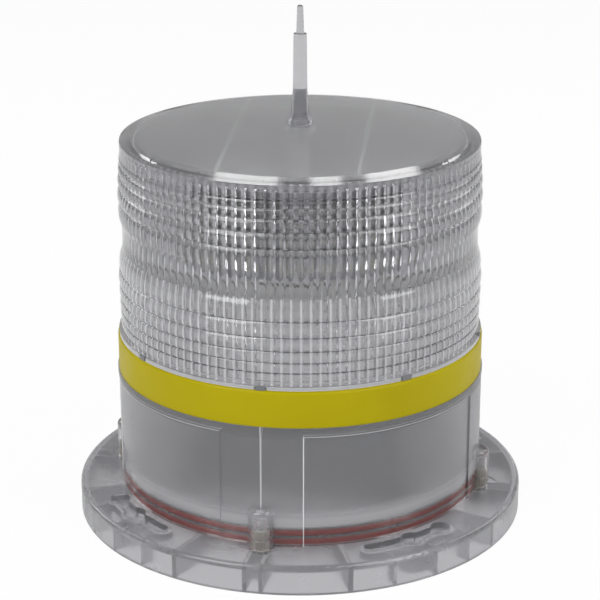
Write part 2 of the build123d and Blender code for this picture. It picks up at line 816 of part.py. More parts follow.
# Small keys that stop the lens turning on the band
with BuildPart() as lens_keys:
    with BuildSketch(Plane.XY.offset(band_top)):
        with PolarLocations(lens_lip_radius - key_thickness / 2 + fit_gap, key_count):
            Rectangle(key_thickness, key_width)
    extrude(amount=lens_lip_height + lens_foot_gap)
pieces["lens_keys"] = lens_keys

# Top cover: edge chamfer, shallow dome, skirt inside the lens, ribs under the chamfer
dome_radius = (cover_chamfer_radius ** 2 + cover_dome_rise ** 2) / (2 * cover_dome_rise)
dome_half_rise = sqrt(dome_radius ** 2 - (cover_chamfer_radius / 2) ** 2) - dome_radius + cover_dome_rise
with BuildPart() as top_cover:
    with BuildSketch(Plane.XZ):
        with BuildLine():
            Polyline(
                (0, cover_top - cover_wall),
                (0, cover_top),
            )
            ThreePointArc(
                (0, cover_top),
                (cover_chamfer_radius / 2, cover_corner + dome_half_rise),
                (cover_chamfer_radius, cover_corner),
            )
            Polyline(
                (cover_chamfer_radius, cover_corner),
                (cover_edge_radius, lens_top + cover_edge_height),
                (cover_edge_radius, lens_top),
                (skirt_radius, lens_top),
                (skirt_radius, lens_top - cover_skirt_depth),
                (skirt_inner_radius, lens_top - cover_skirt_depth),
                (skirt_inner_radius, cover_corner - cover_wall),
            )
            ThreePointArc(
                (skirt_inner_radius, cover_corner - cover_wall),
                (cover_chamfer_radius / 2, cover_corner + dome_half_rise - cover_wall),
                (0, cover_top - cover_wall),
            )
        make_face()
    revolve(axis=Axis.Z)
    with BuildSketch(Plane.XY.offset(lens_top - cover_skirt_depth)):
        with PolarLocations(skirt_inner_radius, cover_rib_count):
            Rectangle(cover_skirt_wall, cover_rib_thickness)
    extrude(amount=cover_skirt_depth + cover_chamfer_height - cover_wall / 2)
    with BuildSketch(Plane.XY.offset(cover_top - spigot_length - cover_wall / 2)):
        Circle(socket_radius)
    extrude(amount=spigot_length - cover_wall / 2)
    column([(0, 0)], spigot_radius + slide_gap, cover_top - spigot_length - slide_gap,
           spigot_length + slide_gap + cover_wall, Mode.SUBTRACT)
pieces["top_cover"] = top_cover

# Bird spike, plugged into the cover's socket with a small seal
spike_foot_bottom = cover_top + seat_gap
spigot_bottom = cover_top - spigot_length + slide_gap
spike_groove_radius = spigot_radius - spigot_seal_section + slide_gap
groove_height = spigot_bottom + spigot_groove_rise
with BuildPart() as bird_spike:
    with BuildSketch(Plane.XZ):
        with BuildLine():
            Polyline(
                (0, spike_foot_bottom + spike_height),
                (0, spigot_bottom),
                (spigot_radius, spigot_bottom),
                (spigot_radius, groove_height - spigot_seal_section / 2 - slide_gap),
                (spike_groove_radius, groove_height - spigot_seal_section / 2 - slide_gap),
                (spike_groove_radius, groove_height + spigot_seal_section / 2 + slide_gap),
                (spigot_radius, groove_height + spigot_seal_section / 2 + slide_gap),
                (spigot_radius, spike_foot_bottom),
                (spike_foot_radius, spike_foot_bottom),
                (spike_foot_radius, spike_foot_bottom + spike_foot_height),
                (spike_base_radius, spike_foot_bottom + spike_foot_height),
                (spike_flare_radius, spike_foot_bottom + spike_flare_rise),
                (spike_waist_radius, spike_foot_bottom + spike_waist_rise),
                (spike_waist_radius, spike_foot_bottom + spike_waist_rise + seam_depth),
                (spike_step_radius, spike_foot_bottom + spike_step_rise),
                (spike_pin_radius, spike_foot_bottom + spike_step_rise + spike_step_bevel),
                (spike_tip_radius, spike_foot_bottom + spike_height - spike_tip_radius / 3),
                (spike_tip_radius / 2, spike_foot_bottom + spike_height),
                close=True,
            )
        make_face()
    revolve(axis=Axis.Z)
pieces["bird_spike"] = bird_spike

spike_seal_radius = (spigot_seal_section - slide_gap) / 2
with BuildPart() as spike_seal:
    with Locations((0, 0, groove_height)):
        Torus(spigot_radius - spike_seal_radius, spike_seal_radius)
pieces["spike_o_ring"] = spike_seal

# Solar panel: backing disc with three strips of cells, on a spoked carrier
with BuildPart() as panel_backing:
    with BuildSketch(Plane.XY.offset(carrier_top)):
        Circle(panel_radius)
    extrude(amount=panel_thickness)
pieces["panel_backing"] = panel_backing

strip_turn = Plane.XY.offset(carrier_top + panel_thickness).rotated((0, 0, cell_strip_turn))
for index in range(3):
    with BuildPart() as solar_cell:
        with BuildSketch(strip_turn):
            Circle(panel_radius - cell_sheet_margin)
            with Locations(((index - 1) * cell_strip_pitch, 0)):
                Rectangle(cell_strip_pitch - cell_strip_gap, 2 * panel_radius, mode=Mode.INTERSECT)
        extrude(amount=cell_sheet_thickness)
    pieces[f"solar_cell_{index + 1}"] = solar_cell

with BuildPart() as panel_carrier:
    with BuildSketch(Plane.XY.offset(carrier_bottom)):
        Circle(panel_radius)
        Circle(panel_radius - carrier_ring_width, mode=Mode.SUBTRACT)
        Rectangle(2 * panel_radius - carrier_ring_width, carrier_arm_width)
        Rectangle(carrier_arm_width, 2 * panel_radius - carrier_ring_width)
        Circle(carrier_hub_radius)
    extrude(amount=carrier_thickness)
pieces["panel_carrier"] = panel_carrier

# Deck, mast, light hub and driver box
mast_screw_places = ring_places(mast_foot_radius - mast_screw_inset, mast_screw_count, 45)
standoff_places = ring_places(board_radius - standoff_inset, 4, 45)
with BuildPart() as deck:
    with BuildSketch(Plane.XY.offset(deck_bottom)):
        Circle(neck_inner_radius - loose_gap)
        Circle(deck_port_radius, mode=Mode.SUBTRACT)
        with Locations(*mast_screw_places, *deck_screw_places, *standoff_places):
            Circle(small_hole_radius, mode=Mode.SUBTRACT)
    extrude(amount=deck_thickness)
pieces["deck"] = deck

with BuildPart() as deck_screws:
    screws(deck_screw_places, deck_top, 1, small_screw_length, small_shank_radius,
           small_head_radius, small_head_height)
pieces["deck_screws"] = deck_screws

mast_foot_top = deck_top + mast_foot_thickness
with BuildPart() as mast:
    column([(0, 0)], mast_foot_radius, deck_top, mast_foot_thickness)
    column([(0, 0)], mast_radius, mast_foot_top, hub_top - mast_foot_top)
    column([(0, 0)], mast_collar_radius, hub_bottom, -mast_collar_height)
    column([(0, 0)], mast_radius - mast_wall, deck_top, hub_top - deck_top, Mode.SUBTRACT)
    column(mast_screw_places, small_hole_radius, deck_top, mast_foot_thickness, Mode.SUBTRACT)
pieces["mast"] = mast

with BuildPart() as mast_screws:
    screws(mast_screw_places, mast_foot_top, 1, mast_foot_thickness + deck_thickness,
           small_shank_radius, small_head_radius, small_head_height)
pieces["mast_screws"] = mast_screws

with BuildPart() as light_hub:
    with BuildSketch(Plane.XY.offset(hub_bottom)):
        RegularPolygon(hub_flats_radius, facet_count, major_radius=False, rotation=180 / facet_count)
        Circle(mast_radius + slide_gap, mode=Mode.SUBTRACT)
    extrude(amount=hub_height)
pieces["light_hub"] = light_hub

facet_turns = [360.0 / facet_count * index for index in range(facet_count)]
facet_planes = [
    Plane(
        origin=(*on_circle(hub_flats_radius, turn), belt_height),
        x_dir=(*on_circle(1, turn + 90), 0),
        z_dir=(*on_circle(1, turn), 0),
    )
    for turn in facet_turns
]
with BuildPart() as led_boards:
    with BuildSketch(*facet_planes):
        Circle(star_radius)
    extrude(amount=star_thickness)
pieces["led_boards"] = led_boards

with BuildPart() as leds:
    with BuildSketch(*[plane.offset(star_thickness) for plane in facet_planes]):
        Circle(led_base_radius)
    extrude(amount=led_base_thickness)
    with Locations(*[plane.offset(star_thickness + led_base_thickness).location for plane in facet_planes]):
        Sphere(led_dome_radius, arc_size1=0, align=(Align.CENTER, Align.CENTER, Align.MIN))
pieces["leds"] = leds

with BuildPart() as driver_box:
    with BuildSketch(Plane.XY.offset(hub_top)):
        RectangleRounded(driver_width, driver_depth, driver_edge_radius)
    extrude(amount=carrier_bottom - hub_top)
pieces["driver_box"] = driver_box

# Controller board below the deck, its parts facing down to where a hand reaches them
with BuildPart() as board_standoffs:
    with BuildSketch(Plane.XY.offset(board_top)):
        with Locations(*standoff_places):
            RegularPolygon(standoff_radius, 6, major_radius=False)
            Circle(small_hole_radius, mode=Mode.SUBTRACT)
    extrude(amount=standoff_length)
pieces["board_standoffs"] = board_standoffs

with BuildPart() as controller_board:
    with BuildSketch(Plane.XY.offset(board_bottom)):
        Circle(board_radius)
        with Locations(*standoff_places):
            Circle(small_hole_radius, mode=Mode.SUBTRACT)
    extrude(amount=board_thickness)
pieces["controller_board"] = controller_board

with BuildPart() as board_screws:
    screws(standoff_places, board_bottom, -1, small_screw_length, small_shank_radius,
           small_head_radius, small_head_height)
pieces["board_screws"] = board_screws

with BuildPart() as contact_block:
    with BuildSketch(Plane.XY.offset(plug_block_bottom)):
        Rectangle(plug_block_width, plug_block_depth)
        with Locations(*contact_places):
            Circle(contact_pin_radius + slide_gap, mode=Mode.SUBTRACT)
    extrude(amount=plug_block_height)
pieces["contact_block"] = contact_block

with BuildPart() as contact_pins:
    column(contact_places, contact_pin_radius, board_bottom, -plug_block_height - contact_pin_length)
pieces["contact_pins"] = contact_pins

code_switch_bottom = board_bottom - code_switch_height
code_places = [(side * code_switch_spacing / 2, -code_switch_offset) for side in (-1, 1)]
with BuildPart() as code_switches:
    with BuildSketch(Plane.XY.offset(code_switch_bottom)):
        with Locations(*code_places):
            Rectangle(code_switch_size, code_switch_size)
    extrude(amount=code_switch_height)
    column(code_places, code_dial_radius + slide_gap, code_switch_bottom,
           code_dial_height - code_dial_stand + slide_gap, Mode.SUBTRACT)
pieces["code_switches"] = code_switches

for name, place in zip(("flash_code_dial", "range_code_dial"), code_places):
    with BuildPart() as code_dial:
        column([place], code_dial_radius, code_switch_bottom - code_dial_stand, code_dial_height)
        with BuildSketch(Plane.XY.offset(code_switch_bottom - code_dial_stand)):
            with Locations(place):
                Rectangle(code_dial_radius * 1.5, code_dial_radius / 4)
        extrude(amount=code_dial_height / 3, mode=Mode.SUBTRACT)
    pieces[name] = code_dial

with BuildPart() as capacitors:
    column([((index - 1) * capacitor_pitch, capacitor_offset) for index in range(3)], capacitor_radius,
           board_bottom, -capacitor_length)
pieces["capacitors"] = capacitors

with BuildPart() as controller_chips:
    with BuildSketch(Plane.XY.offset(board_bottom)):
        with Locations((-capacitor_offset, 0), (capacitor_offset, 0)):
            Rectangle(chip_size, chip_size)
    extrude(amount=-chip_thickness)
pieces["controller_chips"] = controller_chips

with BuildPart() as inductor:
    with BuildSketch(Plane.XY.offset(board_bottom)):
        with Locations((capacitor_offset, capacitor_offset - inductor_radius)):
            Circle(inductor_radius)
            Circle(inductor_bore_radius, mode=Mode.SUBTRACT)
    extrude(amount=-inductor_height)
pieces["charge_inductor"] = inductor

for name, piece in pieces.items():
    piece.part.label = name
    export_step(piece.part, f"parts/{name}.step")
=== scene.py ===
import json
from math import atan2, cos, hypot, pi, radians, sin, tau

import bmesh
import bpy
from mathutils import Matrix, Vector


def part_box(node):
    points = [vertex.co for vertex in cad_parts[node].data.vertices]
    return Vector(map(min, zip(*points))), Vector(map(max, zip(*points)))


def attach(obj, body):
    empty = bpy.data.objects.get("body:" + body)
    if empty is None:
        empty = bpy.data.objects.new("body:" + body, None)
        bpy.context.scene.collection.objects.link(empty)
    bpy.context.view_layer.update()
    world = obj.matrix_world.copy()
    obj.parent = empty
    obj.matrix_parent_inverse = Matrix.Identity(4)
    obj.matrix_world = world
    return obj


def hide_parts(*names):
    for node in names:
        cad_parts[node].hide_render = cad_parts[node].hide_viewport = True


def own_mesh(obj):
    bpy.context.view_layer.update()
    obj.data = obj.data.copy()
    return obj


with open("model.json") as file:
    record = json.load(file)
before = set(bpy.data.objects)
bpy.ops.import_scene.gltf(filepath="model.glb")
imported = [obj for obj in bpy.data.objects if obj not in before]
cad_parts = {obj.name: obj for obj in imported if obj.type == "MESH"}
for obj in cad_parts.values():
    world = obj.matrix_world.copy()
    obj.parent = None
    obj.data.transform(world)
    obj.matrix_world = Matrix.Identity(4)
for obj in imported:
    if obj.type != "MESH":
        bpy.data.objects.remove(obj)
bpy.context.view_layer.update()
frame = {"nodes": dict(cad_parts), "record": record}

nodes = frame["nodes"]
MM = 0.001

# The lens drum's levels and radii, in millimetres. Its ends are the frame's.
lens_low, lens_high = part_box("lens_drum")
LENS_BOTTOM, LENS_TOP = lens_low[2] / MM, lens_high[2] / MM
LIP_TOP, BELT_BOTTOM, BELT_TOP, RIB_HEAD = 98.0, 141.0, 154.0, 189.0
LIP_RADIUS, BASE_RADIUS, BELT_RADIUS = 93.4, 92.0, 90.5
SHOULDER_RADIUS, HEAD_RADIUS, RIM_RADIUS, INNER_RADIUS = 91.5, 90.85, 90.75, 87.7
# Each rib's height and bulge in millimetres, counted away from the belt.
LOWER_RIBS = ((10.8, 0.95), (8.0, 0.9), (6.8, 0.7), (5.8, 0.5), (5.1, 0.35), (4.5, 0.25))
UPPER_RIBS = ((11.4, 1.2), (8.1, 1.15), (6.5, 0.95), (5.1, 0.65), (3.9, 0.35))
RIB_STEPS = 8
GROOVE_DEPTH, GROOVE_HALF_WIDTH, RIM_STEP = 0.45, 0.3, 0.1
# The flutes inside the drum run between these levels and fade out at both ends.
FLUTE_FOOT, FLUTE_HEAD, FLUTE_END, FLUTE_DEPTH = 99.7, 193.9, 0.5, 1.1
FLUTE_COUNT, WIDE_FLUTE_COUNT, FLUTE_STEPS = 120, 8, 6
CREST_SHARPNESS = 1.3
WIDE_FLUTE_RISE = 4 / FLUTE_STEPS
KEY_COUNT, KEY_NOTCH_WIDTH = 8, 4.9
FLUTE_HALF_ANGLE = pi / FLUTE_COUNT
# How the drum's finish follows its shape: shares of clearness, the painted highlight lines on the flute
# crests by their half width in radians, and where the painted shade in the upper flutes' troughs begins.
LENS_CLARITY, LIP_HAZE, LOWER_HAZE, LINE_HAZE = 0.98, 0.45, 0.12, 0.6
CREST_LINE, UPPER_LINE_SHARE = 0.009, 0.35
TROUGH_START, TROUGH_FULL = 0.55 * FLUTE_HALF_ANGLE, 0.75 * FLUTE_HALF_ANGLE
FIRST_GROOVE = BELT_BOTTOM - LOWER_RIBS[0][0]
# The top cover's dome is satin inside this radius, in millimetres.
DOME_RADIUS = 82.1

# The housing's frost, its label panels and the light margin where the frost begins.
FROST_EDGE, FROST_FADE = 28.5 * MM, 3.0 * MM
WALL_RADIUS, BOSS_TOP, LABEL_TOP = 94.4 * MM, 35.1 * MM, 72.8 * MM
LABEL_EDGE = radians(12.7)
# Painted highlights on the label panels' near and top edges and on the seams, and painted shade on their far
# edges: half widths, and the highlights' strengths.
EDGE_HALF_WIDTH, FAR_EDGE_HALF_WIDTH, HEAD_EDGE_HALF_WIDTH = 0.0026, 0.0030, 0.26 * MM
NEAR_EDGE_HIGHLIGHT, HEAD_EDGE_HIGHLIGHT, SEAM_HIGHLIGHT = 0.85, 0.7, 0.75
MARGIN_FOOT, MARGIN_FULL, MARGIN_FADE, MARGIN_HEAD = 23.5 * MM, 26.5 * MM, 28.0 * MM, 36.0 * MM
MARGIN_HAZE = 0.3

# The seals and the screw inserts, in millimetres.
SEAL_INNER, SEAL_OUTER, SEAL_HEIGHT, SEAL_CORNER = 87.85, 91.55, 3.6, 1.1
SEAL_STEPS, SEAL_CORNER_STEPS = 192, 5
INSERT_PLACE_RADIUS, INSERT_RADIUS, INSERT_BORE, INSERT_CHAMFER = 95.3, 3.25, 2.1, 0.4
INSERT_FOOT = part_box("screw_inserts")[0][2] / MM
INSERT_COUNT, KNURL_TEETH, KNURL_DEPTH, WAIST_DEPTH = 4, 28, 0.22, 0.35

MERGE_DISTANCE = 0.002 * MM
TOUCH = 0.001 * MM

# The photograph's view, and a studio that is paler near the floor than overhead, in metres.
VIEW_TURN, VIEW_TILT = radians(11.7), radians(70.66)
VIEW_PLACE = (0.1925, -0.9298, 0.4427)
LENS_LENGTH, FILM_WIDTH = 116.8, 36.0
LAMP_AIM = Vector((0, 0, 0.11))
FLOOR_SIZE, FLOOR_DROP, FLOOR_GLOW = 12.0, 0.0005, 0.95
HORIZON_LEVEL, CEILING_LEVEL, SIDE_WALL_SHARE = 0.44, 0.12, 0.4

POLYCARBONATE_IOR, ABS_IOR, RESIN_IOR = 1.585, 1.53, 1.5
# Noise seldom leaves these values.
NOISE_LOW, NOISE_HIGH = 0.3, 0.7
CLEAR_SHADOW = "#d8d8da"
SOFT = {"interpolation_type": "SMOOTHSTEP"}
COLOURS = {"data_type": "RGBA"}


def linear(hex_colour):
    """An sRGB hex colour such as "#b0a80c" as the linear colour that shaders use."""
    channels = [int(hex_colour[i:i + 2], 16) / 255 for i in (1, 3, 5)]
    return [c / 12.92 if c <= 0.04045 else ((c + 0.055) / 1.055) ** 2.4 for c in channels] + [1.0]


def new_material(name):
    """A material whose node tree is still empty."""
    material = bpy.data.materials.new(name)
    material.use_nodes = True
    material.node_tree.nodes.clear()
    return material


def add(owner, kind, inputs=None, **settings):
    """Adds a node with its settings. An input takes a plain value or what another node gives."""
    made = owner.node_tree.nodes.new("ShaderNode" + kind)
    for name, value in settings.items():
        setattr(made, name, value)
    for name, value in (inputs or {}).items():
        if isinstance(value, bpy.types.Node):
            value = next(output for output in value.outputs if output.enabled)
        if isinstance(value, bpy.types.NodeSocket):
            owner.node_tree.links.new(value, made.inputs[name])
        else:
            made.inputs[name].default_value = value
    return made


def grain(material, size, depth, detail=3.0):
    """A bump from fine noise whose spots are about this size and this deep, in metres."""
    place = add(material, "TexCoord")
    spots = add(material, "TexNoise",
                {"Vector": place.outputs["Object"], "Scale": 0.5 / size, "Detail": detail})
    return add(material, "Bump", {"Height": spots, "Distance": depth, "Strength": 1.0})


def clouded(material, size, low, high):
    """A value that drifts between low and high over patches of about this size in metres."""
    place = add(material, "TexCoord")
    cloud = add(material, "TexNoise",
                {"Vector": place.outputs["Object"], "Scale": 0.5 / size, "Detail": 2.0})
    return add(material, "MapRange", {"Value": cloud, "From Min": NOISE_LOW, "From Max": NOISE_HIGH,
                                      "To Min": low, "To Max": high})


def place_on_lantern(material):
    """A point's height, its distance from the lantern's axis and its angle round it."""
    place = add(material, "TexCoord")
    apart = add(material, "SeparateXYZ", {"Vector": place.outputs["Object"]})
    x, y, height = (apart.outputs[axis] for axis in "XYZ")
    flat = add(material, "CombineXYZ", {"X": x, "Y": y})
    reach = add(material, "VectorMath", {0: flat}, operation="LENGTH")
    turn = add(material, "Math", {0: y, 1: x}, operation="ARCTAN2")
    return height, reach, turn


def lets_lamps_through(material, surface, shadow):
    """Finishes a clear material: its shadow is only as dark as this tint, so what it holds is lit."""
    path = add(material, "LightPath")
    veil = add(material, "BsdfTransparent", {"Color": linear(shadow)})
    both = add(material, "MixShader", {0: path.outputs["Is Shadow Ray"], 1: surface, 2: veil})
    add(material, "OutputMaterial", {"Surface": both})
    return material


def clear_polycarbonate(name, tint, roughness, ripple_size, ripple_depth, haze):
    """Injection-moulded polycarbonate: glossy, rippled by the mould, clouded where haze is above 0."""
    material = new_material(name)
    surface = add(material, "BsdfPrincipled", {
        "Base Color": linear(tint), "IOR": POLYCARBONATE_IOR, "Transmission Weight": 1.0 - haze,
        "Roughness": clouded(material, 12 * MM, roughness * 0.7, roughness * 1.4),
        "Normal": grain(material, ripple_size, ripple_depth, 2.0)})
    return lets_lamps_through(material, surface, CLEAR_SHADOW)


def lens_polycarbonate():
    """The lens: clear polycarbonate, a little milky, more so in its plain lip where it meets the band.

    The crests of its inner flutes carry painted highlights, upright white lines below the belt and fainter
    above it. The upper flutes' troughs and the grooves between the lower ribs carry painted shade."""
    material = new_material("lens_clear_polycarbonate")
    height, reach, turn = place_on_lantern(material)
    lip = add(material, "MapRange", {"Value": height, "From Min": (LIP_TOP + 0.5) * MM,
                                     "From Max": (LIP_TOP - 0.5) * MM, "To Max": LIP_HAZE}, **SOFT)
    lower_ribs = add(material, "MapRange", {"Value": height, "From Min": BELT_BOTTOM * MM,
                                            "From Max": (BELT_BOTTOM - 1.0) * MM}, **SOFT)
    upper_ribs = add(material, "MapRange", {"Value": height, "From Min": BELT_TOP * MM,
                                            "From Max": (BELT_TOP + 1.0) * MM}, **SOFT)
    inner_wall = add(material, "MapRange", {"Value": reach, "From Min": (INNER_RADIUS + 2.0) * MM,
                                            "From Max": (INNER_RADIUS + FLUTE_DEPTH) * MM}, **SOFT)

    # Painted highlight lines on the flute crests, whitest below the belt and fainter above it.
    from_crest = add(material, "Math", {0: turn, 1: FLUTE_HALF_ANGLE}, operation="PINGPONG")
    crest = add(material, "MapRange", {"Value": from_crest, "From Min": CREST_LINE,
                                       "From Max": CREST_LINE / 2}, **SOFT)
    lined_bands = add(material, "Math", {0: upper_ribs, 1: UPPER_LINE_SHARE, 2: lower_ribs},
                      operation="MULTIPLY_ADD")
    painted_highlight = add(material, "Math", {0: crest, 1: inner_wall}, operation="MULTIPLY")
    painted_highlight = add(material, "Math", {0: painted_highlight, 1: lined_bands}, operation="MULTIPLY")
    # Painted shade in the upper flutes' troughs.
    trough = add(material, "MapRange", {"Value": from_crest, "From Min": TROUGH_START,
                                        "From Max": TROUGH_FULL}, **SOFT)
    painted_trough_shade = add(material, "Math", {0: trough, 1: inner_wall}, operation="MULTIPLY")
    painted_trough_shade = add(material, "Math", {0: painted_trough_shade, 1: upper_ribs}, operation="MULTIPLY")

    # Painted shade in the grooves between the lower ribs.
    groove = add(material, "MapRange", {"Value": reach, "From Min": BASE_RADIUS * MM,
                                        "From Max": (BASE_RADIUS - 0.3) * MM}, **SOFT)
    outer_wall = add(material, "MapRange", {"Value": reach, "From Min": (BELT_RADIUS - 0.5) * MM,
                                            "From Max": (BELT_RADIUS - 0.1) * MM}, **SOFT)
    below_first_rib = add(material, "MapRange", {"Value": height, "From Min": (FIRST_GROOVE + 0.8) * MM,
                                                 "From Max": (FIRST_GROOVE + 0.3) * MM}, **SOFT)
    groove = add(material, "Math", {0: groove, 1: outer_wall}, operation="MULTIPLY")
    groove = add(material, "Math", {0: groove, 1: below_first_rib}, operation="MULTIPLY")

    # Painted shade darkens the upper flutes' troughs.
    tint = add(material, "Mix", {"Factor": painted_trough_shade, "A": linear("#cdcdd0"), "B": linear("#a4a4a8")},
               **COLOURS)
    # Painted highlight: the flute crests' lines turn white.
    tint = add(material, "Mix", {"Factor": painted_highlight, "A": tint, "B": linear("#ffffff")}, **COLOURS)
    # Painted shade: the grooves between the lower ribs turn dark grey.
    tint = add(material, "Mix", {"Factor": groove, "A": tint, "B": linear("#5c5c60")}, **COLOURS)
    clear = add(material, "Math", {0: LENS_CLARITY, 1: lip}, operation="SUBTRACT")
    clear = add(material, "Math", {0: lower_ribs, 1: -LOWER_HAZE, 2: clear}, operation="MULTIPLY_ADD")
    clear = add(material, "Math", {0: painted_highlight, 1: -LINE_HAZE, 2: clear}, operation="MULTIPLY_ADD")
    surface = add(material, "BsdfPrincipled", {
        "Base Color": tint, "IOR": POLYCARBONATE_IOR, "Transmission Weight": clear,
        "Roughness": clouded(material, 12 * MM, 0.04, 0.08),
        "Normal": grain(material, 8 * MM, 0.004 * MM, 2.0)})
    return lets_lamps_through(material, surface, CLEAR_SHADOW)


def cover_polycarbonate():
    """The top cover: its dome has a fine satin skin over the cells, its chamfered edge is polished."""
    material = new_material("cover_clear_polycarbonate")
    reach = place_on_lantern(material)[1]
    satin = add(material, "MapRange", {"Value": reach, "From Min": (DOME_RADIUS + 0.5) * MM,
                                       "From Max": (DOME_RADIUS - 0.5) * MM,
                                       "To Min": 0.08, "To Max": 0.22}, **SOFT)
    surface = add(material, "BsdfPrincipled", {
        "Base Color": linear("#e4e4e5"), "IOR": POLYCARBONATE_IOR, "Transmission Weight": 0.94,
        "Roughness": satin, "Normal": grain(material, 6 * MM, 0.012 * MM, 2.0)})
    return lets_lamps_through(material, surface, "#dcdcde")


def painted_edge_lights(material, height, turn):
    """How much a point of the wall takes a painted highlight, on a label edge or seam, and painted shade, on
    a panel's far edge.
    """
    from_boss = add(material, "Math", {0: turn, 1: pi / 2}, operation="FLOORED_MODULO")
    along_panel = add(material, "Math", {0: turn, 1: pi / 4}, operation="PINGPONG")
    below_head = add(material, "Math", {0: height, 1: LABEL_TOP}, operation="LESS_THAN")

    # Painted highlights on the near label edges, the panels' top edges and the seams.
    near_edge = add(material, "Math", {0: from_boss, 1: LABEL_EDGE, 2: EDGE_HALF_WIDTH},
                    operation="COMPARE")
    near_edge = add(material, "Math", {0: near_edge, 1: below_head}, operation="MULTIPLY")
    near_edge = add(material, "Math", {0: near_edge, 1: NEAR_EDGE_HIGHLIGHT}, operation="MULTIPLY")

    on_panel = add(material, "Math", {0: along_panel, 1: LABEL_EDGE}, operation="GREATER_THAN")
    head_edge = add(material, "Math", {0: height, 1: LABEL_TOP, 2: HEAD_EDGE_HALF_WIDTH},
                    operation="COMPARE")
    head_edge = add(material, "Math", {0: on_panel, 1: head_edge}, operation="MULTIPLY")
    head_edge = add(material, "Math", {0: head_edge, 1: HEAD_EDGE_HIGHLIGHT}, operation="MULTIPLY")

    on_seam = add(material, "Math", {0: along_panel, 1: EDGE_HALF_WIDTH}, operation="LESS_THAN")
    above_boss = add(material, "Math", {0: height, 1: BOSS_TOP}, operation="GREATER_THAN")
    seam = add(material, "Math", {0: on_seam, 1: above_boss}, operation="MULTIPLY")
    seam = add(material, "Math", {0: seam, 1: SEAM_HIGHLIGHT}, operation="MULTIPLY")

    bright = add(material, "Math", {0: near_edge, 1: head_edge}, operation="MAXIMUM")
    bright = add(material, "Math", {0: bright, 1: seam}, operation="MAXIMUM")
    # Painted shade on each label panel's far edge.
    far_edge = add(material, "Math", {0: from_boss, 1: pi / 2 - LABEL_EDGE, 2: FAR_EDGE_HALF_WIDTH},
                   operation="COMPARE")
    dim = add(material, "Math", {0: far_edge, 1: below_head}, operation="MULTIPLY")
    return bright, dim


def frosted_polycarbonate():
    """The housing's wall: polycarbonate etched to a satin frost, left clear at its foot and its bosses.

    The moulding's parting lines and the label panels' near and top edges carry painted highlights, and the
    panels' far edges painted shade."""
    material = new_material("frosted_polycarbonate")
    height, reach, turn = place_on_lantern(material)
    above_foot = add(material, "MapRange", {"Value": height, "From Min": FROST_EDGE - FROST_FADE,
                                            "From Max": FROST_EDGE + FROST_FADE}, **SOFT)
    on_wall = add(material, "MapRange", {"Value": reach, "From Min": WALL_RADIUS + 0.8 * MM,
                                         "From Max": WALL_RADIUS + 0.4 * MM}, **SOFT)
    frost = add(material, "Math", {0: above_foot, 1: on_wall}, operation="MULTIPLY")

    wall_satin = add(material, "MapRange", {"Value": frost, "To Min": 0.05, "To Max": 0.27}, **SOFT)
    boss_satin = add(material, "MapRange", {"Value": on_wall, "To Min": 0.08, "To Max": 0.0}, **SOFT)
    satin = add(material, "Math", {0: wall_satin, 1: boss_satin}, operation="ADD")

    margin_foot = add(material, "MapRange",
                      {"Value": height, "From Min": MARGIN_FOOT, "From Max": MARGIN_FULL}, **SOFT)
    margin_head = add(material, "MapRange",
                      {"Value": height, "From Min": MARGIN_HEAD, "From Max": MARGIN_FADE}, **SOFT)
    margin = add(material, "Math", {0: margin_head, 1: on_wall}, operation="MULTIPLY")
    margin = add(material, "Math", {0: margin_foot, 1: margin}, operation="MULTIPLY")
    boss_haze = add(material, "MapRange", {"Value": on_wall, "To Min": 0.1, "To Max": 0.0}, **SOFT)
    clear = add(material, "MapRange", {"Value": frost, "To Min": 0.93, "To Max": 0.86}, **SOFT)
    clear = add(material, "Math", {0: margin, 1: -MARGIN_HAZE, 2: clear}, operation="MULTIPLY_ADD")
    clear = add(material, "Math", {0: clear, 1: boss_haze}, operation="SUBTRACT")

    bright, dim = painted_edge_lights(material, height, turn)
    line_cover = add(material, "MapRange", {"Value": bright, "To Min": 1.0, "To Max": 0.3}, **SOFT)
    clear = add(material, "Math", {0: clear, 1: line_cover}, operation="MULTIPLY")
    tint = add(material, "Mix", {"Factor": frost, "A": linear("#d6d6d8"), "B": linear("#cbcbce")},
               **COLOURS)
    # Painted shade: the panels' far edges turn dark grey.
    tint = add(material, "Mix", {"Factor": dim, "A": tint, "B": linear("#8d8d90")}, **COLOURS)
    # Painted highlight: the label edges and seams turn white.
    tint = add(material, "Mix", {"Factor": bright, "A": tint, "B": linear("#ffffff")}, **COLOURS)
    etch_depth = add(material, "MapRange", {"Value": frost, "To Min": 0.0, "To Max": 0.009 * MM}, **SOFT)
    surface = add(material, "BsdfPrincipled", {
        "Base Color": tint, "IOR": POLYCARBONATE_IOR, "Roughness": satin, "Transmission Weight": clear,
        "Normal": grain(material, 0.6 * MM, etch_depth)})
    return lets_lamps_through(material, surface, "#c6c6c8")


def moulded_plastic(name, colour, second_colour, roughness, spot=0.7 * MM, depth=0.03 * MM, shine=0.5):
    """Opaque moulded plastic with a spark-eroded skin: satin, a little uneven in tone.

    The skin's spots are drawn at 0.7 mm, because the real ones are too fine to show."""
    material = new_material(name)
    colours = add(material, "Mix", {"Factor": clouded(material, 20 * MM, 0.0, 1.0),
                                    "A": linear(colour), "B": linear(second_colour)}, **COLOURS)
    surface = add(material, "BsdfPrincipled", {
        "Base Color": colours, "IOR": ABS_IOR, "Specular IOR Level": shine,
        "Roughness": clouded(material, 6 * MM, roughness * 0.85, roughness * 1.15),
        "Normal": grain(material, spot, depth)})
    add(material, "OutputMaterial", {"Surface": surface})
    return material


